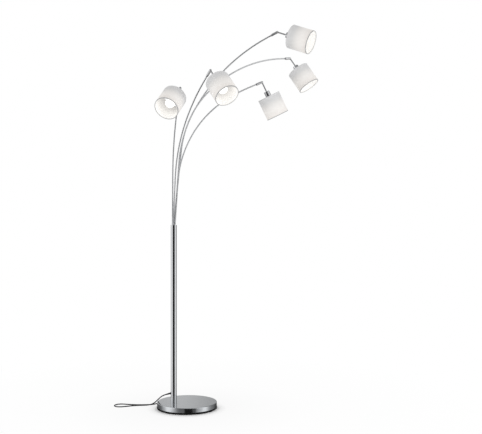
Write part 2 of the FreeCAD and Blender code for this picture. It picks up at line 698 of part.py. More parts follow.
# ---------------------------------------------------------------- foot switch and plug
def make_switch():
    """Inline foot switch, in a frame at its middle on the floor with X along the lead."""
    frame = shift(V(*SWITCH_CENTRE, 0)) * turn(Z_AXIS, SWITCH_HEADING)
    half_width = SWITCH_WIDTH / 2
    straight = SWITCH_LENGTH - SWITCH_WIDTH
    middle = Part.makeBox(straight, SWITCH_WIDTH, SWITCH_HEIGHT, V(-straight / 2, -half_width, 0))
    ends = [cylinder(half_width, 0, SWITCH_HEIGHT, side * straight / 2) for side in (-1, 1)]
    case = middle.fuse(ends).removeSplitter()
    top_edges = [edge for edge in case.Edges if edge.BoundBox.ZMin > SWITCH_HEIGHT - 0.01]
    case = case.makeFillet(SWITCH_EDGE_ROUND, top_edges)
    hidden = 4.0
    for side in (-1, 1):
        root = V(side * (SWITCH_LENGTH / 2 - hidden), 0, SWITCH_CORD_HEIGHT)
        case = case.fuse(tapered(root, V(side, 0, 0), GLAND_NECK_RADIUS, SLEEVE_TIP_RADIUS,
                                 RELIEF_LENGTH + hidden))
    pocket = cylinder(BUTTON_RADIUS + BUTTON_GAP, SWITCH_HEIGHT - BUTTON_DEPTH, SWITCH_HEIGHT)
    save("switch_case", placed(case.cut(pocket), frame))

    bottom = SWITCH_HEIGHT - BUTTON_DEPTH + BUTTON_TRAVEL + BUTTON_GAP
    button = cylinder(BUTTON_RADIUS, bottom, SWITCH_HEIGHT + BUTTON_PROUD)
    rim = [edge for edge in button.Edges if edge.BoundBox.ZMin > SWITCH_HEIGHT + BUTTON_PROUD - 0.01]
    save("switch_button", placed(button.makeFillet(BUTTON_EDGE_ROUND, rim), frame))


def make_plug():
    """Flat two-pin plug lying on the floor, in a frame at its cord entry with X towards the pins."""
    frame = shift(V(*PLUG_ENTRY, PLUG_BODY_THICK / 2)) * turn(Z_AXIS, PLUG_HEADING)
    low = -PLUG_BODY_THICK / 2
    back = RELIEF_LENGTH
    front = back + PLUG_BODY_LENGTH
    half_back = PLUG_BODY_BACK_WIDTH / 2
    half_front = PLUG_BODY_WIDTH / 2
    shoulder = back + (half_front - half_back)
    outline = [V(back, -half_back, low), V(shoulder, -half_front, low), V(front, -half_front, low),
               V(front, half_front, low), V(shoulder, half_front, low), V(back, half_back, low)]
    face = Part.Face(Part.makePolygon(outline + outline[:1]))
    body = face.extrude(V(0, 0, PLUG_BODY_THICK))
    long_edges = [edge for edge in body.Edges if edge.BoundBox.ZLength < 0.01]
    body = body.makeFillet(PLUG_EDGE_ROUND, long_edges)
    hidden = 3.0
    relief = tapered(V(back + hidden, 0, 0), V(-1, 0, 0), GLAND_NECK_RADIUS, SLEEVE_TIP_RADIUS, back + hidden)
    body = body.fuse(relief)
    pins = []
    for side in (-1, 1):
        root = V(front - PLUG_PIN_INSIDE, side * PLUG_PIN_SPACING / 2, 0)
        pin = Part.makeCylinder(PLUG_PIN_RADIUS, PLUG_PIN_LENGTH + PLUG_PIN_INSIDE, root, V(1, 0, 0))
        body = body.cut(pin)
        pins.append(placed(pin, frame))
    save("plug_body", placed(body, frame))
    save("plug_pins", *pins)


# ---------------------------------------------------------------- the whole lamp
os.makedirs("parts", exist_ok=True)
make_base()
make_pole()
for arm_name, arm_values in ARMS.items():
    tip_frame = make_arm(arm_name, arm_values)
    make_head(arm_name, arm_values, tip_frame)
make_gland()
make_cord("cord_lead", lead_route())
make_switch()
make_cord("cord_link", link_route())
make_coil()
make_cord("cord_tail", tail_route())
make_plug()
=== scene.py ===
import json
import math
import bpy
from mathutils import Matrix, Vector


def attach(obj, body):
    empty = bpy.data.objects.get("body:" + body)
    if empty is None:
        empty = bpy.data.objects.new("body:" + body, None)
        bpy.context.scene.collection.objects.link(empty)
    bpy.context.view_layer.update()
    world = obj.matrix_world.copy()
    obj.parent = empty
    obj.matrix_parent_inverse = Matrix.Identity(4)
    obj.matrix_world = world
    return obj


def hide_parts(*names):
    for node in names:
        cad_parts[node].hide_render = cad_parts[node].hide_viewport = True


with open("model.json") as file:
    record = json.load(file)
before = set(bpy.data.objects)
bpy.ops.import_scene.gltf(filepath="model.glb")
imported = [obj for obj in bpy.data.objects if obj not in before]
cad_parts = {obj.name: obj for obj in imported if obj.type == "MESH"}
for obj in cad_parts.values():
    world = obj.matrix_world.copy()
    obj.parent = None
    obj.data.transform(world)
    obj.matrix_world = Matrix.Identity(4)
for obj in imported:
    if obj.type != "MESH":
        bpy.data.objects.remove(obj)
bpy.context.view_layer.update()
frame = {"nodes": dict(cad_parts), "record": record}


# ---------------------------------------------------------------- base and pole
# A pressed steel cover over an iron weight, and a steel tube bolted through both. Cover and tube are brushed
# and nickel plated, the cover in circles round its middle and the tube along its length. The bolt is zinc
# plated.
class Tone:
    """A value or colour that changes over a surface. Sums, products and tests of tones are Math nodes."""

    def __init__(self, shading, socket):
        self.shading = shading
        self.socket = socket

    def __add__(self, other):
        return self.shading.math("ADD", self, other)

    def __mul__(self, other):
        return self.shading.math("MULTIPLY", self, other)

    def __truediv__(self, other):
        return self.shading.math("DIVIDE", self, other)

    def __rtruediv__(self, other):
        return self.shading.math("DIVIDE", other, self)

    def __gt__(self, other):
        return self.shading.math("GREATER_THAN", self, other)

    __radd__ = __add__
    __rmul__ = __mul__


class Shading:
    """The shader nodes of a finish or of the room."""

    def __init__(self, tree):
        self.nodes = tree.nodes
        self.links = tree.links

    def feed(self, socket, value):
        if isinstance(value, Tone):
            self.links.new(value.socket, socket)
        elif socket.type == "RGBA":
            socket.default_value = (*value, 1.0)
        else:
            socket.default_value = value

    def node(self, kind, settings, sockets, output=0):
        node = self.nodes.new("ShaderNode" + kind)
        for name, value in settings.items():
            if name == "stops":
                ramp = node.color_ramp.elements
                while len(ramp) < len(value):
                    ramp.new(0.5)
                for element, (position, color) in zip(ramp, value):
                    element.position = position
                    element.color = (*color, 1.0)
            else:
                setattr(node, name, value)
        for name, value in sockets.items():
            self.feed(node.inputs[name], value)
        return Tone(self, node.outputs[output])

    def math(self, operation, first, second=0.0):
        return self.node("Math", dict(operation=operation), {0: first, 1: second})

    def split(self, spot, axes="XYZ"):
        """The numbers of a place, one for each of the axes."""
        return [self.node("SeparateXYZ", {}, {0: spot}, output=axis) for axis in axes]

    def ramp(self, factor, stops):
        return self.node("ValToRGB", dict(stops=stops), {0: factor})

    def blend(self, factor, first, second):
        return self.node("Mix", dict(data_type="RGBA"), {0: factor, 6: first, 7: second}, output=2)


class Finish(Shading):
    """One finish of the lamp: a Principled surface whose sockets take values or tones."""

    def __init__(self, name, **surface):
        self.material = bpy.data.materials.new(name)
        self.material.use_nodes = True
        super().__init__(self.material.node_tree)
        self.shader = self.nodes["Principled BSDF"]
        self.set(**surface)

    def set(self, **surface):
        for name, value in surface.items():
            self.feed(self.shader.inputs[name.replace("_", " ").title().replace("Ior", "IOR")], value)

    def place(self, scale=(1.0, 1.0, 1.0)):
        """The place on the object, scaled."""
        spot = self.node("TexCoord", {}, {}, output="Object")
        return self.node("Mapping", {}, {"Vector": spot, "Scale": scale})

    def noise(self, spot, scale, detail=2.0):
        return self.node("TexNoise", {}, {"Vector": spot, "Scale": scale, "Detail": detail})

    def speckle(self, size, detail=2.0, stretch=(1.0, 1.0, 1.0)):
        """Soft noise whose spots are about size metres across. A small number in stretch draws them out."""
        return self.noise(self.place(stretch), 1.0 / size, detail)

    def bump(self, height, depth, strength=1.0):
        return self.node("Bump", {}, {"Height": height, "Distance": depth, "Strength": strength})


BRUSH_LINES_PER_METRE = 900.0
disc_nickel = Finish("brushed_nickel_disc", metallic=1.0)
disc_x, disc_y, disc_z = disc_nickel.split(disc_nickel.place())
disc_radius = disc_nickel.math("SQRT", disc_x * disc_x + disc_y * disc_y)
disc_lines = disc_nickel.node("CombineXYZ", {}, {
    0: disc_radius * BRUSH_LINES_PER_METRE, 1: disc_z * BRUSH_LINES_PER_METRE})
disc_brush = disc_nickel.noise(disc_lines, 1.0)
disc_streaks = disc_nickel.speckle(0.012, 3.0, stretch=(0.10, 1.0, 1.0))
disc_nickel.set(base_color=disc_nickel.blend(0.4 * disc_brush + 0.6 * disc_streaks,
                                             (0.51, 0.53, 0.55), (0.76, 0.785, 0.81)),
                roughness=0.09 + 0.05 * disc_brush + 0.05 * disc_streaks)

tube_nickel = Finish("brushed_nickel_tube", metallic=1.0)
tube_brush = tube_nickel.speckle(0.0012, stretch=(1.0, 1.0, 0.02))
tube_cloud = tube_nickel.speckle(0.05, stretch=(1.0, 1.0, 0.3))
tube_nickel.set(base_color=tube_nickel.blend(tube_brush, (0.61, 0.62, 0.635), (0.69, 0.70, 0.715)),
                roughness=0.12 + 0.06 * tube_brush + 0.03 * tube_cloud)

iron = Finish("cast_iron", metallic=0.6)
iron_grain = iron.speckle(0.0015, 5.0)
iron.set(base_color=iron.blend(iron_grain, (0.03, 0.03, 0.03), (0.09, 0.085, 0.08)),
         roughness=0.6 + 0.3 * iron_grain,
         normal=iron.bump(iron_grain, 0.0003))

zinc = Finish("bright_zinc", metallic=1.0)
zinc_cloud = zinc.speckle(0.003, 3.0)
zinc.set(base_color=zinc.blend(zinc_cloud, (0.50, 0.51, 0.53), (0.66, 0.67, 0.68)),
         roughness=0.28 + 0.14 * zinc_cloud)


def finish_node(node, finish):
    """Gives a solid of the construction its finish."""
    mesh = frame["nodes"][node].data
    mesh.materials.clear()
    mesh.materials.append(finish.material)


finish_node("base_cover", disc_nickel)
finish_node("base_weight", iron)
finish_node("base_bolt", zinc)
finish_node("pole_tube", tube_nickel)
finish_node("arm_plug", tube_nickel)

# ---------------------------------------------------------------- underplate
# The underplate is moulded from black plastic. Its lip grips the cover's lower edge, and shows as the black
# line under the rim. It stands on six low feet and a pad under the middle.
COVER_RADIUS = 0.150
GRIP_RADIUS = COVER_RADIUS + 0.0001
LIP_RADIUS = COVER_RADIUS + 0.0007
LIP_TOP = 0.0098
PLATE_BOTTOM = 0.0012
PLATE_TOP = 0.0074
HOLLOW_RADIUS = 0.120
FOOT_COUNT = 6
FOOT_RADIUS = 0.008
FOOT_TOP = 0.0030
FOOT_RING = 0.136
PAD_RADIUS = 0.022


def start_piece():
    """Leaves nothing selected, so that the next primitive is alone."""
    bpy.ops.object.select_all(action="DESELECT")
    bpy.context.view_layer.objects.active = None


def spin_up(name, outline, sides):
    """A round piece, as on a lathe: a ring of vertices, extruded and resized from step to step."""
    start_piece()
    radius, height = outline[0]
    bpy.ops.mesh.primitive_circle_add(vertices=sides, radius=radius, location=(0, 0, height))
    piece = bpy.context.object
    piece.name = name
    bpy.ops.object.transform_apply(location=True, rotation=False, scale=False)
    bpy.ops.object.mode_set(mode="EDIT")
    bpy.ops.mesh.select_all(action="SELECT")
    for next_radius, next_height in outline[1:]:
        bpy.ops.mesh.extrude_region_move(TRANSFORM_OT_translate={"value": (0, 0, next_height - height)})
        size = next_radius / radius
        bpy.ops.transform.resize(value=(size, size, 1), center_override=(0, 0, 0))
        radius, height = next_radius, next_height
    return piece


def finish_round(piece, angle):
    """Merges and closes the ends, turns the faces outwards and smooths edges below an angle in degrees."""
    bpy.ops.mesh.select_all(action="SELECT")
    bpy.ops.mesh.remove_doubles(threshold=0.000005)
    bpy.ops.mesh.fill_holes(sides=0)
    bpy.ops.mesh.normals_make_consistent(inside=False)
    bpy.ops.object.mode_set(mode="OBJECT")
    bpy.ops.object.shade_smooth_by_angle(angle=math.radians(angle))


plate_plastic = Finish("underplate_plastic", specular_ior_level=0.15)
plate_grain = plate_plastic.speckle(0.0012, 3.0)
plate_plastic.set(base_color=plate_plastic.blend(plate_grain, (0.003, 0.003, 0.003), (0.008, 0.008, 0.008)),
                  roughness=0.6 + 0.15 * plate_grain)
underplate = spin_up("moulded_underplate", [
    (0.060, PLATE_BOTTOM), (HOLLOW_RADIUS, PLATE_BOTTOM), (COVER_RADIUS - 0.0012, PLATE_BOTTOM),
    (COVER_RADIUS, PLATE_BOTTOM + 0.0006), (LIP_RADIUS, PLATE_BOTTOM + 0.0022),
    (LIP_RADIUS, LIP_TOP - 0.0004), (LIP_RADIUS - 0.0003, LIP_TOP), (GRIP_RADIUS, LIP_TOP),
    (GRIP_RADIUS, PLATE_TOP), (HOLLOW_RADIUS, PLATE_TOP)], 160)
finish_round(underplate, 30)
feet = [(0.0, 0.0, PAD_RADIUS)]
for index in range(FOOT_COUNT):
    bearing = math.radians(30 + index * 360 / FOOT_COUNT)
    feet.append((FOOT_RING * math.cos(bearing), FOOT_RING * math.sin(bearing), FOOT_RADIUS))
for across, deep, radius in feet:
    foot = spin_up("foot", [(radius - 0.0006, 0.0), (radius, 0.0005), (radius, FOOT_TOP)], 40)
    finish_round(foot, 30)
    foot.data.transform(Matrix.Translation((across, deep, 0.0)))
    start_piece()
    foot.select_set(True)
    underplate.select_set(True)
    bpy.context.view_layer.objects.active = underplate
    bpy.ops.object.join()
underplate.data.materials.append(plate_plastic.material)
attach(underplate, "stand")
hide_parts("base_plate")

# ---------------------------------------------------------------- arms, knuckles, stems and cups
# Thin steel tubes bent cold on formers, in satin nickel, with a turned and polished sleeve on each tip. The
# stem in the sleeve's slot is the same nickel with painted shade that darkens it, its cup is polished, and
# hinge pins and grub screws are zinc.
heads = "abcde"
satin = Finish("satin_nickel", metallic=1.0)
satin_grain = satin.speckle(0.0015)
satin_cloud = satin.speckle(0.03)
satin.set(base_color=satin.blend(satin_cloud, (0.65, 0.66, 0.675), (0.73, 0.74, 0.755)),
          roughness=0.28 + 0.05 * satin_grain + 0.03 * satin_cloud)

# Painted shade: the stems are the arms' nickel painted darker, for the dark surroundings they mirror.
stem_nickel_painted_darker = Finish("nickel_stem_painted_darker", metallic=1.0)
stem_grain = stem_nickel_painted_darker.speckle(0.0015)
stem_nickel_painted_darker.set(base_color=stem_nickel_painted_darker.blend(stem_grain, (0.40, 0.405, 0.415), (0.48, 0.485, 0.495)),
                roughness=0.14 + 0.06 * stem_grain)

polished_nickel = Finish("polished_nickel_cup", metallic=1.0)
polish_marks = polished_nickel.speckle(0.004)
polished_nickel.set(base_color=polished_nickel.blend(polish_marks, (0.58, 0.585, 0.60), (0.66, 0.665, 0.68)),
                    roughness=0.05 + 0.04 * polish_marks)

for head in heads:
    finish_node("arm_" + head, satin)
    finish_node("knuckle_" + head, polished_nickel)
    finish_node("stem_" + head, stem_nickel_painted_darker)
    finish_node("hinge_pin_" + head, zinc)
    finish_node("socket_cup_" + head, polished_nickel)

# ---------------------------------------------------------------- lampholders and shade carriers
# The lampholder is moulded from heat-proof plastic, and its clamp ring holds the shade's carrier, which is
# welded from wire and powder coated white.
holder_plastic = Finish("white_lampholder")
holder_grain = holder_plastic.speckle(0.002, 3.0)
holder_plastic.set(base_color=holder_plastic.blend(holder_grain, (0.74, 0.73, 0.70), (0.80, 0.79, 0.76)),
                   roughness=0.38 + 0.1 * holder_grain)

powder_coat = Finish("white_powder_coat")
powder_grain = powder_coat.speckle(0.0008, 3.0)
powder_coat.set(base_color=powder_coat.blend(powder_grain, (0.60, 0.60, 0.59), (0.68, 0.68, 0.67)),
                roughness=0.42 + 0.1 * powder_grain,
                normal=powder_coat.bump(powder_grain, 0.00004))

for head in heads:
    finish_node("lampholder_" + head, holder_plastic)
    finish_node("shade_carrier_" + head, powder_coat)

# ---------------------------------------------------------------- bulbs
# Small round LED bulbs: an opal dome that glows all over, a short plastic collar and a metal cap, which is
# screwed into the lampholder. Heights are measured along the stem from the hinge pin.
PIN_TO_SHADE = 0.080
SHADE_LENGTH = 0.112
CAP_START = 0.092
CAP_END = CAP_START + 0.019
CAP_RADIUS = 0.0069
CONTACT_RADIUS = 0.0025
THREAD_ROOT_RADIUS = 0.0063
THREAD_TURNS = 5
THREAD_PITCH = 0.0032
DOME_MIDDLE = PIN_TO_SHADE + SHADE_LENGTH / 2 + 0.005
DOME_RADIUS = 0.0225
DOME_START = math.radians(-52)
DOME_STEPS = 22


def head_place(head):
    """Where a head stands: its origin on the hinge pin, Z along the stem, Y along the pin."""
    joints = {joint["name"]: joint for joint in frame["record"]["behaviour"]["joints"]}
    swivel = joints["swivel_" + head]
    tilt = joints["tilt_" + head]
    hinge = Vector(tilt["axis"]).normalized()
    turned_by = math.radians(-tilt["range_deg"][0])
    along = Matrix.Rotation(turned_by, 3, hinge) @ Vector(swivel["axis"]).normalized()
    across = hinge.cross(along)
    turned = Matrix((across, hinge, along)).transposed().to_4x4()
    return Matrix.Translation(Vector(tilt["pos_m"])) @ turned


def put_on_heads(pattern, name, node):
    """A copy of a piece with its own mesh on each head, in place of that head's solid. The pattern goes."""
    for head in heads:
        piece = bpy.data.objects.new(name + head, pattern.data.copy())
        piece.data.transform(head_place(head))
        bpy.context.scene.collection.objects.link(piece)
        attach(piece, "head_" + head)
        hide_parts(node + head)
    bpy.data.objects.remove(pattern)


opal = Finish("opal_dome", base_color=(0.95, 0.95, 0.93), roughness=0.25, emission_strength=1.0)
opal.set(emission_color=opal.blend(opal.speckle(0.01), (1.0, 0.97, 0.92), (1.0, 0.985, 0.95)))

collar_plastic = Finish("bulb_collar", roughness=0.4)
collar_plastic.set(base_color=collar_plastic.blend(collar_plastic.speckle(0.002), (0.76, 0.76, 0.74),
                                                   (0.82, 0.82, 0.80)))

cap_metal = Finish("bulb_cap", metallic=1.0)
cap_marks = cap_metal.speckle(0.0015)
cap_metal.set(base_color=cap_metal.blend(cap_marks, (0.55, 0.55, 0.55), (0.70, 0.70, 0.70)),
              roughness=0.3 + 0.1 * cap_marks)


def dome_point(angle):
    return DOME_RADIUS * math.cos(angle), DOME_MIDDLE + DOME_RADIUS * math.sin(angle)


outline = [(CONTACT_RADIUS, CAP_START - 0.002), (CAP_RADIUS, CAP_START)]
for turn in range(THREAD_TURNS):
    low = CAP_START + 0.0025 + turn * THREAD_PITCH
    outline += [(THREAD_ROOT_RADIUS, low), (CAP_RADIUS, low + THREAD_PITCH / 2)]
outline += [(CAP_RADIUS, CAP_END), (0.0080, CAP_END + 0.0002), (0.0092, CAP_END + 0.0020),
            (0.0130, CAP_END + 0.0115)]
dome_sweep = math.pi / 2 - DOME_START
outline += [dome_point(DOME_START + dome_sweep * step / DOME_STEPS) for step in range(DOME_STEPS)]
bulb = spin_up("bulb_pattern", outline, 48)
finish_round(bulb, 35)
for finish in (opal, collar_plastic, cap_metal):
    bulb.data.materials.append(finish.material)
collar_top = dome_point(DOME_START)[1]
for face in bulb.data.polygons:
    if face.center.z < CAP_END + 0.0001:
        face.material_index = 2
    elif face.center.z < collar_top - 0.0001:
        face.material_index = 1
put_on_heads(bulb, "lit_bulb_", "bulb_")

# ---------------------------------------------------------------- shades
# Drums of fine white cloth on a stiff translucent lining, rolled over the wire rings at both ends and taped
# at the mouth. The bulb's light through the cloth and on the lining is a painted glow, warm towards the
# mouth, and the cloth's colour is painted darker and cooler towards the lampholder.
SHADE_RADIUS = 0.060
CLOTH_RADIUS = SHADE_RADIUS - 0.0002
LINING_RADIUS = SHADE_RADIUS - 0.0012
HEM_RADIUS = SHADE_RADIUS - 0.0026
HEM_DEPTH = 0.0035
HEM_ROUND = 0.0008
HEM_STEP = 0.0003
CLOTH_BANDS = 8
WARP_COUNT = 470
WEFT_COUNT = 140
SLUBS_ROUND = 30.0
SLUBS_ALONG = 260.0


def weave(finish):
    """The place round and along the drum, from its UV map, and the threads of a plain weave."""
    around, along = finish.split(finish.node("TexCoord", {}, {}, output="UV"), "XY")
    warp = finish.math("SINE", around * (WARP_COUNT * math.tau))
    weft = finish.math("SINE", along * (WEFT_COUNT * math.tau))
    return around, along, 0.5 + 0.25 * warp + 0.25 * weft


cloth = Finish("shade_cloth", roughness=0.9, sheen_weight=0.45, sheen_roughness=0.3, emission_strength=1.0)
cloth_around, cloth_along, cloth_threads = weave(cloth)
cloth_spot = cloth.node("CombineXYZ", {}, {0: cloth_around * SLUBS_ROUND, 1: cloth_along * SLUBS_ALONG})
cloth_slubs = cloth.noise(cloth_spot, 1.0)
# Painted shading: the cloth's colour is painted darker and cooler towards the lampholder and lighter towards
# the mouth.
cloth_painted_shading = cloth.ramp(cloth_along, [
    (0.0, (0.63, 0.63, 0.635)), (0.3, (0.64, 0.64, 0.64)), (1.0, (0.67, 0.665, 0.66))])
# Painted glow: the bulb's light through the cloth is painted on as emission, brightest past the middle and
# warm towards the mouth.
cloth_painted_glow = cloth.ramp(cloth_along, [
    (0.0, (0.015, 0.014, 0.014)), (0.18, (0.015, 0.013, 0.012)), (0.29, (0.050, 0.045, 0.040)),
    (0.39, (0.110, 0.095, 0.080)), (0.50, (0.165, 0.148, 0.130)), (0.61, (0.205, 0.182, 0.160)),
    (0.71, (0.215, 0.192, 0.168)), (0.82, (0.200, 0.172, 0.145)), (1.0, (0.180, 0.150, 0.120))])
cloth.set(base_color=cloth.blend(0.08 * cloth_slubs + 0.05 * cloth_threads, cloth_painted_shading, (0.56, 0.56, 0.56)),
          emission_color=cloth_painted_glow,
          normal=cloth.bump(cloth_threads + 0.5 * cloth_slubs, 0.00006, 0.4))

lining = Finish("shade_lining", roughness=0.7, emission_strength=1.0)
_, lining_along, lining_threads = weave(lining)
# Painted light: the bulb's light inside the drum is painted on the lining as emission, brighter towards the
# mouth.
lining_painted_glow = lining.ramp(lining_along, [
    (0.0, (0.18, 0.17, 0.16)), (0.35, (0.23, 0.22, 0.21)), (0.6, (0.34, 0.33, 0.315)),
    (0.85, (0.40, 0.39, 0.38)), (1.0, (0.42, 0.41, 0.40))])
lining.set(base_color=lining.blend(0.04 * lining_threads, (0.62, 0.615, 0.605), (0.52, 0.51, 0.50)),
           emission_color=lining_painted_glow)

hem_tape = Finish("shade_hem", roughness=0.85)
_, _, hem_threads = weave(hem_tape)
hem_tape.set(base_color=hem_tape.blend(0.3 * hem_threads, (0.42, 0.42, 0.425), (0.34, 0.34, 0.345)),
             normal=hem_tape.bump(hem_threads, 0.00008, 0.5))

back = PIN_TO_SHADE
mouth = PIN_TO_SHADE + SHADE_LENGTH
outline = [(HEM_RADIUS, back + HEM_DEPTH), (HEM_RADIUS, back + HEM_ROUND), (HEM_RADIUS + HEM_ROUND, back),
           (SHADE_RADIUS - HEM_ROUND, back), (SHADE_RADIUS, back + HEM_ROUND),
           (SHADE_RADIUS, back + HEM_DEPTH), (CLOTH_RADIUS, back + HEM_DEPTH + HEM_STEP)]
outline += [(CLOTH_RADIUS, back + SHADE_LENGTH * band / CLOTH_BANDS) for band in range(1, CLOTH_BANDS)]
outline += [(CLOTH_RADIUS, mouth - HEM_DEPTH - HEM_STEP), (SHADE_RADIUS, mouth - HEM_DEPTH),
            (SHADE_RADIUS, mouth - HEM_ROUND), (SHADE_RADIUS - HEM_ROUND, mouth),
            (HEM_RADIUS + HEM_ROUND, mouth), (HEM_RADIUS, mouth - HEM_ROUND),
            (HEM_RADIUS, mouth - HEM_DEPTH), (LINING_RADIUS, mouth - HEM_DEPTH),
            (LINING_RADIUS, back + HEM_DEPTH), (HEM_RADIUS, back + HEM_DEPTH)]
drum = spin_up("drum_pattern", outline, 120)
finish_round(drum, 50)
for finish in (cloth, lining, hem_tape):
    drum.data.materials.append(finish.material)
unwrapped = drum.data.uv_layers[0]
unwrapped.name = "around_and_along"
inside = LINING_RADIUS + 0.0003
for face in drum.data.polygons:
    if math.hypot(face.center.x, face.center.y) < inside:
        face.material_index = 1
    if face.center.z > mouth - HEM_DEPTH or face.center.z < back + HEM_ROUND:
        face.material_index = 2
    middle = math.atan2(face.center.y, face.center.x)
    for corner in face.loop_indices:
        spot = drum.data.vertices[drum.data.loops[corner].vertex_index].co
        angle = math.atan2(spot.y, spot.x)
        angle += math.tau * round((middle - angle) / math.tau)
        unwrapped.data[corner].uv = (angle / math.tau + 0.5, (spot.z - back) / SHADE_LENGTH)
put_on_heads(drum, "drum_shade_", "shade_")

# ---------------------------------------------------------------- mains lead
# A two-core lead in a round black PVC sheath. It leaves the pole's gland, drops over the base's rim, lies on
# the floor, turns back on itself at the left and runs behind the base into the foot switch.
CORD_WIDTH = 0.0056
FLOOR = CORD_WIDTH / 2


def heading(degrees):
    """A level direction, in degrees from the X axis."""
    return Vector((math.cos(math.radians(degrees)), math.sin(math.radians(degrees)), 0.0))


GLAND_ROOT = Vector((-0.084, 0.0, 0.074))
GLAND_ALONG = Vector((math.cos(math.radians(195)), 0.0, math.sin(math.radians(195))))
GLAND_LENGTH = 0.020
GLAND_STRAIGHT = 0.020
SWITCH_MIDDLE = Vector((-0.1185, 0.1165, 0.0055))
SWITCH_ALONG = heading(45.5)
SWITCH_REACH = 0.047
SWITCH_STRAIGHT = 0.015

sheath = Finish("cord_sheath", specular_ior_level=0.45)
sheath.set(base_color=sheath.blend(sheath.speckle(0.020), (0.016, 0.016, 0.017), (0.034, 0.034, 0.035)),
           roughness=0.34 + 0.16 * sheath.speckle(0.004),
           normal=sheath.bump(sheath.speckle(0.0012), 0.00005))


def lay_cord(name, points):
    """One smooth spline through a route, with the round sheath along it."""
    curve = bpy.data.curves.new(name, "CURVE")
    curve.dimensions = "3D"
    spline = curve.splines.new("NURBS")
    spline.points.add(len(points) - 1)
    for knot, point in zip(spline.points, points):
        knot.co = (*point, 1.0)
    spline.order_u = 3
    spline.use_endpoint_u = True
    curve.resolution_u = 8
    curve.bevel_depth = CORD_WIDTH / 2
    curve.bevel_resolution = 5
    curve.use_fill_caps = True
    curve.materials.append(sheath.material)
    cord = bpy.data.objects.new(name, curve)
    bpy.context.scene.collection.objects.link(cord)
    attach(cord, "stand")
    return cord


gland_tip = GLAND_ROOT + GLAND_ALONG * GLAND_LENGTH
switch_entry = SWITCH_MIDDLE - SWITCH_ALONG * SWITCH_REACH
lead = lay_cord("mains_lead", [
    gland_tip,
    gland_tip + GLAND_ALONG * GLAND_STRAIGHT,
    (-0.143, 0.012, 0.045),
    (-0.163, 0.036, 0.022),
    (-0.182, 0.048, 0.008),
    (-0.206, 0.05, FLOOR),
    (-0.246, 0.046, FLOOR),
    (-0.275, 0.039, FLOOR),
    (-0.299, 0.0285, FLOOR),
    (-0.319, 0.0185, FLOOR),
    (-0.341, 0.011, FLOOR),
    (-0.3625, 0.0185, FLOOR),
    (-0.374, 0.0385, FLOOR),
    (-0.37, 0.061, FLOOR),
    (-0.3525, 0.0755, FLOOR),
    (-0.33, 0.075, FLOOR),
    (-0.303, 0.0655, FLOOR),
    (-0.273, 0.06, FLOOR),
    (-0.241, 0.058, FLOOR),
    (-0.211, 0.06, FLOOR),
    (-0.184, 0.0635, FLOOR),
    switch_entry - SWITCH_ALONG * SWITCH_STRAIGHT,
    switch_entry,
])
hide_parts("cord_lead")

# ---------------------------------------------------------------- the rest of the lead, in its coil
# The same lead from the foot switch to the plug. What isn't needed lies wound in a neat flat coil of two
# layers close behind the base: inwards on the floor, up a layer, and outwards again on top.
COIL_MIDDLE = Vector((-0.001, 0.2015, 0.0))
COIL_ALONG = heading(-20)
COIL_SIDE = Vector((COIL_ALONG.y, -COIL_ALONG.x, 0.0))
OUTER_TURN = 0.0445
TURN_PITCH = 0.0074
LAYER_PITCH = 0.0061
HALF_TURNS_IN = 6
HALF_TURNS_OUT = 5
KNOTS_PER_HALF_TURN = 9
LINK_STRAIGHT = 0.017
COIL_STRAIGHT = 0.012
PLUG_STRAIGHT = 0.015
PLUG_ENTRY = Vector((0.075, 0.1532, 0.00685))
PLUG_ALONG = heading(-32)

knot_angle = math.pi / KNOTS_PER_HALF_TURN
coil_knots = []
offset = OUTER_TURN
height = FLOOR
for index, step in enumerate([-TURN_PITCH / 2] * HALF_TURNS_IN + [0.0] + [TURN_PITCH / 2] * HALF_TURNS_OUT):
    sign = 1 if index % 2 == 0 else -1
    next_offset = offset + step
    climb = 0.0 if step else LAYER_PITCH
    radius = (offset + next_offset) / 2 / math.cos(knot_angle / 2)
    shift = sign * (offset - next_offset) / 2
    for knot in range(KNOTS_PER_HALF_TURN):
        angle = (knot + 0.5) * knot_angle
        rise = climb * (1 - math.cos(angle)) / 2
        coil_knots.append(COIL_MIDDLE + COIL_SIDE * (shift + sign * radius * math.cos(angle))
                          + COIL_ALONG * (sign * radius * math.sin(angle)) + Vector((0, 0, height + rise)))
    offset = next_offset
    height += climb
coil_start = COIL_MIDDLE + COIL_SIDE * OUTER_TURN + Vector((0, 0, FLOOR)) - COIL_ALONG * CORD_WIDTH
coil_end = COIL_MIDDLE + COIL_SIDE * offset + Vector((0, 0, height)) + COIL_ALONG * CORD_WIDTH

switch_exit = SWITCH_MIDDLE + SWITCH_ALONG * SWITCH_REACH
tail = lay_cord("mains_lead_coil", [
    switch_exit,
    switch_exit + SWITCH_ALONG * LINK_STRAIGHT,
    (-0.057, 0.169, FLOOR),
    coil_start - COIL_ALONG * LINK_STRAIGHT,
    coil_start,
] + coil_knots + [
    coil_end,
    coil_end + COIL_ALONG * COIL_STRAIGHT,
    (0.016, 0.1555, 0.0072),
    (0.031, 0.160, 0.0036),
    (0.046, 0.164, 0.0040),
    PLUG_ENTRY - PLUG_ALONG * PLUG_STRAIGHT,
    PLUG_ENTRY,
])
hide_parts("cord_link", "cord_coil", "cord_tail")

# ---------------------------------------------------------------- gland, foot switch and plug
# The gland and the plug are soft black rubber, moulded on the lead. The foot switch has a hard moulded case
# of black plastic and a round button on a spring. The plug's pins are plated brass.
rubber = Finish("black_rubber", specular_ior_level=0.35)
rubber_dust = rubber.speckle(0.006)
rubber.set(base_color=rubber.blend(rubber_dust, (0.012, 0.012, 0.012), (0.028, 0.028, 0.028)),
           roughness=0.55 + 0.15 * rubber_dust,
           normal=rubber.bump(rubber.speckle(0.0006, 4.0), 0.00006))

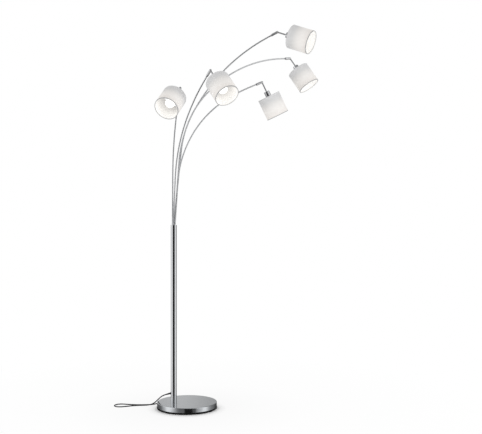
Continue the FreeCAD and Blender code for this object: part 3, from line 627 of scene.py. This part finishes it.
plastic = Finish("black_plastic", specular_ior_level=0.4)
plastic_grain = plastic.speckle(0.0007, 3.0)
plastic.set(base_color=plastic.blend(plastic.speckle(0.015), (0.012, 0.012, 0.013), (0.024, 0.024, 0.025)),
            roughness=0.42 + 0.14 * plastic_grain,
            normal=plastic.bump(plastic_grain, 0.00005))

pin_metal = Finish("plug_pin_metal", metallic=1.0)
pin_marks = pin_metal.speckle(0.0015, 3.0, stretch=(0.15, 1.0, 1.0))
pin_metal.set(base_color=pin_metal.blend(pin_marks, (0.62, 0.60, 0.55), (0.78, 0.76, 0.70)),
              roughness=0.22 + 0.15 * pin_marks)

finish_node("cord_gland", rubber)
finish_node("plug_body", rubber)
finish_node("switch_case", plastic)
finish_node("switch_button", plastic)
finish_node("plug_pins", pin_metal)

# ---------------------------------------------------------------- camera
# A level view from in front, a little under a metre above the floor and four metres away, as the photograph
# was taken. Its height, distance and lens were worked out from the ellipses of the base and the shades.
camera_data = bpy.data.cameras.new("camera")
camera_data.sensor_width = 36.0
camera_data.lens = 61.245
camera = bpy.data.objects.new("camera", camera_data)
camera.location = (0.272, -4.135, 0.963)
camera.rotation_euler = (math.radians(90), 0, 0)
bpy.context.scene.collection.objects.link(camera)
bpy.context.scene.camera = camera

# ---------------------------------------------------------------- room, floor and lights
# A white room, two soft boxes, and a floor on which the shadow shows close round the base and fades out into
# white. The room is pure white to the camera and in mirrors, and a little darker as a light.
ROOM_LIGHT = 0.80
FLOOR_SIZE = 40
FADE_REACH = 2.0
FADE_SHIFT = (0.0, 0.012, 0.0)
HEADS_MIDDLE = Vector((0.15, 0.0, 1.5))

world = bpy.data.worlds.new("white_room")
bpy.context.scene.world = world
world.use_nodes = True
room = Shading(world.node_tree)
seen = room.math("MAXIMUM", room.node("LightPath", {}, {}, output="Is Camera Ray"),
                 room.node("LightPath", {}, {}, output="Is Glossy Ray"))
seen = room.math("MAXIMUM", seen, room.node("LightPath", {}, {}, output="Is Transmission Ray"))
background = room.nodes["Background"]
room.feed(background.inputs["Color"], (1.0, 1.0, 1.0))
room.feed(background.inputs["Strength"], ROOM_LIGHT + (1.0 - ROOM_LIGHT) * seen)


def greys(stops):
    """The stops of a ramp from black to white."""
    return [(position, (brightness,) * 3) for position, brightness in stops]


floor_paint = Finish("studio_floor", base_color=(0.9, 0.9, 0.9), roughness=1.0, specular_ior_level=0.0)
shadow_spot = floor_paint.node("VectorMath", dict(operation="ADD"), {0: floor_paint.place(), 1: FADE_SHIFT})
from_shadow = floor_paint.node("VectorMath", dict(operation="LENGTH"), {0: shadow_spot}, output="Value")
fade_stops = [(0.0, 0.02), (0.155, 0.02), (0.166, 0.50), (0.20, 0.82), (0.60, 0.94), (1.6, 1.0)]
fade = floor_paint.ramp(from_shadow / FADE_REACH, greys([
    (distance / FADE_REACH, whiteness) for distance, whiteness in fade_stops]))
white = fade * floor_paint.node("LightPath", {}, {}, output="Is Camera Ray")
painted = Tone(floor_paint, floor_paint.shader.outputs[0])
glow = floor_paint.node("Emission", {}, {})
shaded = floor_paint.node("MixShader", {}, {0: white, 1: painted, 2: glow})
floor_paint.feed(floor_paint.nodes["Material Output"].inputs["Surface"], shaded)

start_piece()
bpy.ops.mesh.primitive_plane_add(size=FLOOR_SIZE, location=(0, 0, 0))
floor = bpy.context.object
floor.name = "studio_floor"
floor.visible_glossy = False
floor.data.materials.append(floor_paint.material)


def soft_box(name, place, size, power):
    """A wide lamp that points at the heads and that polished metal doesn't mirror."""
    light = bpy.data.lights.new(name, "AREA")
    light.shape = "RECTANGLE"
    light.size, light.size_y = size
    light.energy = power
    box = bpy.data.objects.new(name, light)
    box.location = place
    box.rotation_euler = (HEADS_MIDDLE - Vector(place)).to_track_quat("-Z", "Y").to_euler()
    box.visible_glossy = False
    bpy.context.scene.collection.objects.link(box)


soft_box("key_light", (-3.0, -2.4, 0.6), (1.6, 1.0), 30)
soft_box("fill_light", (3.2, -2.0, 0.6), (1.4, 1.0), 40)

# ---------------------------------------------------------------- reflection wall
# A tall round wall that only polished metal sees. It is bright at both sides, grey behind the lamp, and dark
# behind the camera up to one and a half metres, which draws the black stripe down the pole.
WALL_RADIUS = 6.0
WALL_BOTTOM = -4.0
WALL_TOP = 8.0
WALL_EDGE = 0.1
LOWER_TO_UPPER = (-1.30, -1.22)
UPPER_TO_HIGH = (1.35, 1.60)

wall = Finish("reflection_wall", base_color=(0.0, 0.0, 0.0), specular_ior_level=0.0, emission_strength=1.0)
wall_x, wall_y, wall_z = wall.split(wall.place())
wall_bearing = wall.math("ARCTAN2", wall_x, wall_y * -1.0) / math.tau + 0.5


def wall_panels(panels):
    """The wall's brightness by bearing in degrees: 0 is behind the camera, 90 at its right hand."""
    stops = [((degrees + 180) / 360, brightness) for degrees, brightness in panels]
    return wall.ramp(wall_bearing, greys(stops))


def wall_above(heights):
    """0 below the first of two heights and 1 above the second, with an even change between them."""
    return wall.node("MapRange", {}, {"Value": wall_z, "From Min": heights[0], "From Max": heights[1]})


left_side = [(-180, 0.40), (-177.5, 0.52), (-175.5, 0.60), (-173, 0.54), (-165, 0.50), (-125, 0.45),
             (-110, 0.35), (-97, 1.0), (-88, 1.3), (-55, 1.3), (-40, 0.35)]
right_side = [(43, 0.50), (56, 1.1), (88, 1.1), (100, 0.40), (112, 0.22), (150, 0.25), (180, 0.40)]
high_panels = wall_panels(left_side + [(-20, 0.40), (20, 0.42)] + right_side)
upper_panels = wall_panels(left_side + [(-34, 0.02), (37, 0.02)] + right_side)
lower_panels = wall_panels([
    (-180, 0.07), (-125, 0.07), (-92, 0.35), (-76, 0.98), (-66, 0.98), (-55, 0.60), (-25, 0.22), (-7, 0.20),
    (-5, 0.01), (23, 0.01), (25, 0.12), (35, 0.12), (38, 0.30), (58, 0.55), (69, 0.98), (77, 0.98),
    (95, 0.40), (140, 0.06), (180, 0.07)])
panels = wall.blend(wall_above(UPPER_TO_HIGH), upper_panels, high_panels)
panels = wall.blend(wall_above(LOWER_TO_UPPER), lower_panels, panels)
panels = wall.blend(wall_z > WALL_TOP - WALL_EDGE, panels, (0.38, 0.38, 0.38))
panels = wall.blend(wall_z > WALL_BOTTOM + WALL_EDGE, (0.06, 0.06, 0.06), panels)
wall.set(emission_color=panels)

start_piece()
bpy.ops.mesh.primitive_cylinder_add(vertices=96, radius=WALL_RADIUS, depth=WALL_TOP - WALL_BOTTOM,
                                    end_fill_type="NGON", location=(0, 0, (WALL_TOP + WALL_BOTTOM) / 2))
round_wall = bpy.context.object
round_wall.name = "reflection_wall"
bpy.ops.object.transform_apply(location=True, rotation=False, scale=False)
round_wall.visible_camera = False
round_wall.visible_diffuse = False
round_wall.visible_transmission = False
round_wall.visible_shadow = False
round_wall.data.materials.append(wall.material)

bpy.context.scene.view_settings.view_transform = "Standard"
